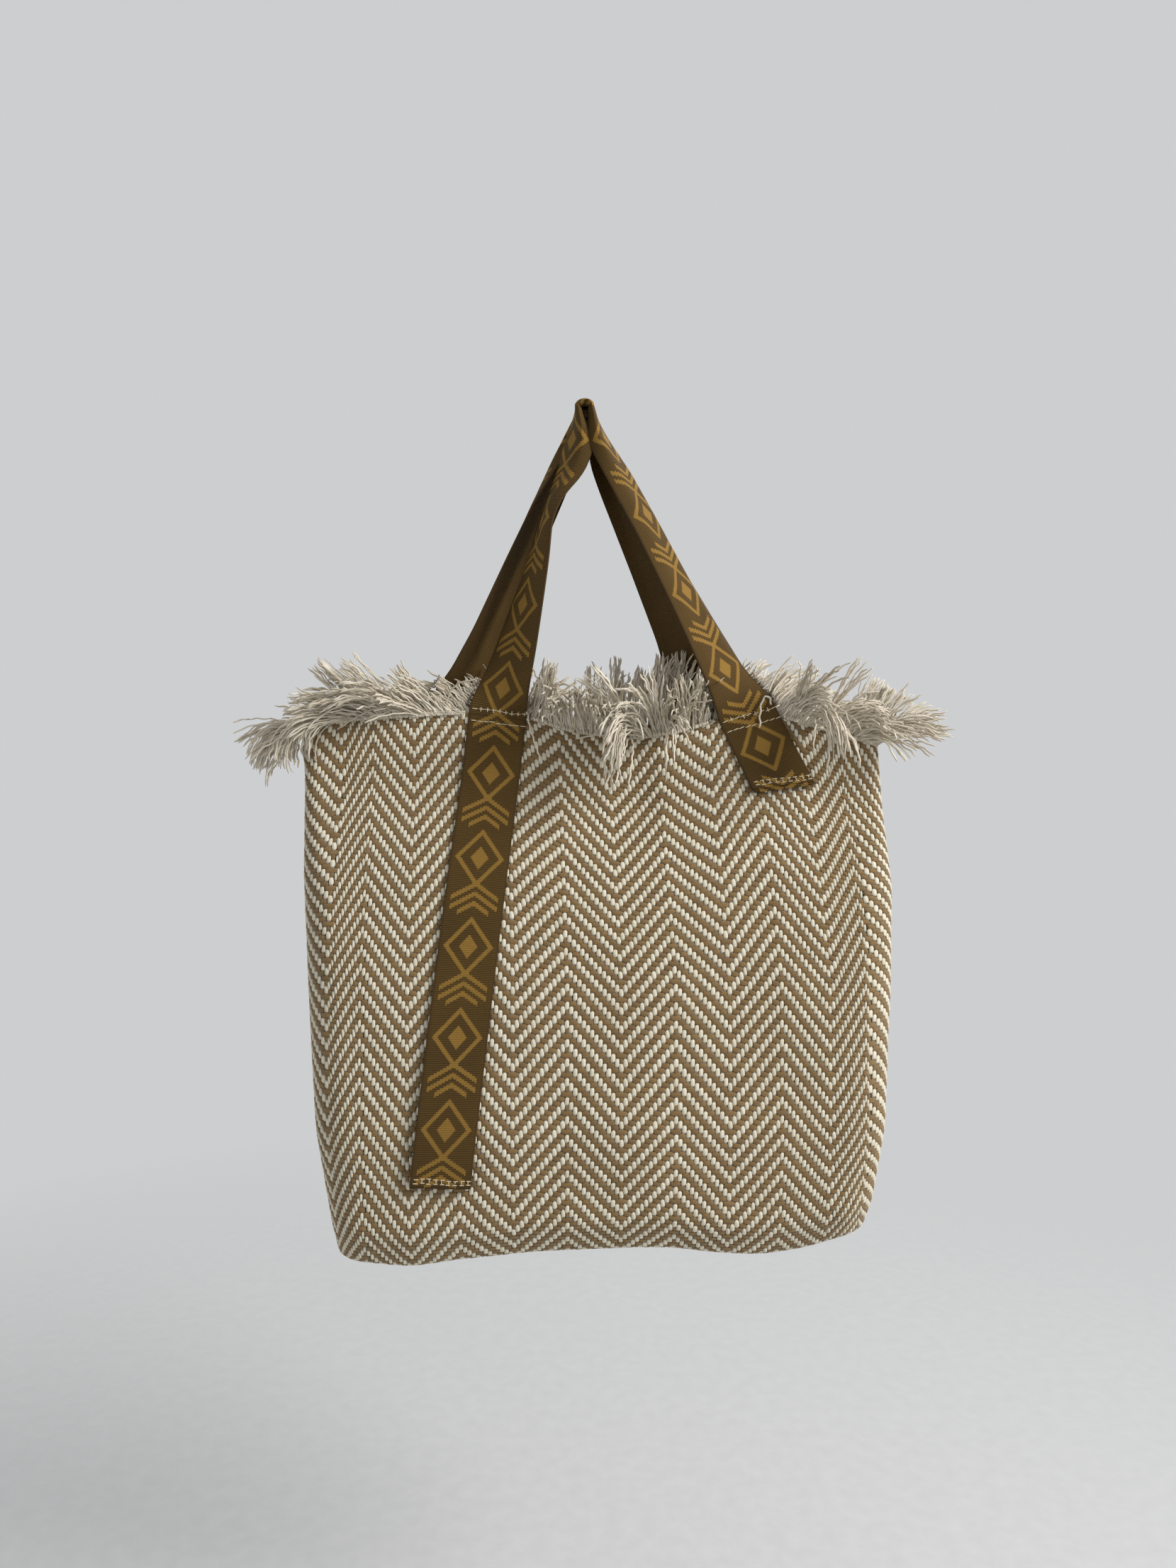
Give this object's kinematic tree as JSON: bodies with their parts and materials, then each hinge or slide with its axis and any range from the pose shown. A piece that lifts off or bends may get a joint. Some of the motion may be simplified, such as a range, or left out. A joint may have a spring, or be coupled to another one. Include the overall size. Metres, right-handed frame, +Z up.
{
  "type": "woven beach bag",
  "caption": "Soft woven open-top beach bag with a fringed rim, boxed base, magnetic snap and webbing handles whose spare ends hang as loose tails.",
  "frame": {"origin": "where the handles rest on a hook, on the underside of their fold", "axes": "+Z up, -Y out of the bag's front, +X to the right seen from the front"},
  "size_m": [0.4746, 0.1156, 0.5932],
  "materials": {
    "weave": "coarse twill of cream warp over tan weft",
    "lining": "plain cotton",
    "fringe_yarn": "soft cream yarn",
    "webbing": "ribbed woven webbing",
    "thread": "thick sewing thread",
    "snap_metal": "antique brass"
  },
  "bodies": {
    "bag": {"back_panel": "weave", "back_lining": "lining", "back_fringe": "fringe_yarn", "back_long_foot": "webbing", "back_long_foot_stitches": "thread", "back_short_foot": "webbing", "back_short_foot_stitches": "thread", "snap_stud": "snap_metal", "stud_washer": "snap_metal"},
    "front_wall": {"front_panel": "weave", "front_lining": "lining", "front_fringe": "fringe_yarn", "front_long_foot": "webbing", "front_long_foot_stitches": "thread", "front_short_foot": "webbing", "front_short_foot_stitches": "thread", "snap_socket": "snap_metal", "socket_washer": "snap_metal"},
    "front_handle": {"front_handle": "webbing"},
    "front_long_tail": {"front_long_tail": "webbing", "front_long_hem_stitches": "thread"},
    "front_short_tail": {"front_short_tail": "webbing", "front_short_hem_stitches": "thread"},
    "back_handle": {"back_handle": "webbing"},
    "back_long_tail": {"back_long_tail": "webbing", "back_long_hem_stitches": "thread"},
    "back_short_tail": {"back_short_tail": "webbing", "back_short_hem_stitches": "thread"}
  },
  "joints": [
    {"name": "mouth_open", "type": "hinge", "parent": "bag", "child": "front_wall", "pos_m": [0.01, -0.034, -0.59], "axis": [1, 0, 0], "range_deg": [0, 12]},
    {"name": "front_handle_fold", "type": "hinge", "parent": "front_wall", "child": "front_handle", "pos_m": [0.01, -0.0145, -0.214], "axis": [1, 0, 0], "range_deg": [0, 160]},
    {"name": "back_handle_fold", "type": "hinge", "parent": "bag", "child": "back_handle", "pos_m": [0.01, 0.0145, -0.214], "axis": [-1, 0, 0], "range_deg": [0, 160]},
    {"name": "front_long_tail_lift", "type": "hinge", "parent": "front_wall", "child": "front_long_tail", "pos_m": [-0.06043, -0.0145, -0.22692], "axis": [0.994, 0, -0.1097], "range_deg": [-150, 0]},
    {"name": "front_short_tail_lift", "type": "hinge", "parent": "front_wall", "child": "front_short_tail", "pos_m": [0.12001, -0.0145, -0.22838], "axis": [0.8988, 0, 0.4384], "range_deg": [-150, 0]},
    {"name": "back_long_tail_lift", "type": "hinge", "parent": "bag", "child": "back_long_tail", "pos_m": [0.08043, 0.0145, -0.22692], "axis": [-0.994, 0, -0.1097], "range_deg": [-150, 0]},
    {"name": "back_short_tail_lift", "type": "hinge", "parent": "bag", "child": "back_short_tail", "pos_m": [-0.10001, 0.0145, -0.22838], "axis": [-0.8988, 0, 0.4384], "range_deg": [-150, 0]}
  ]
}
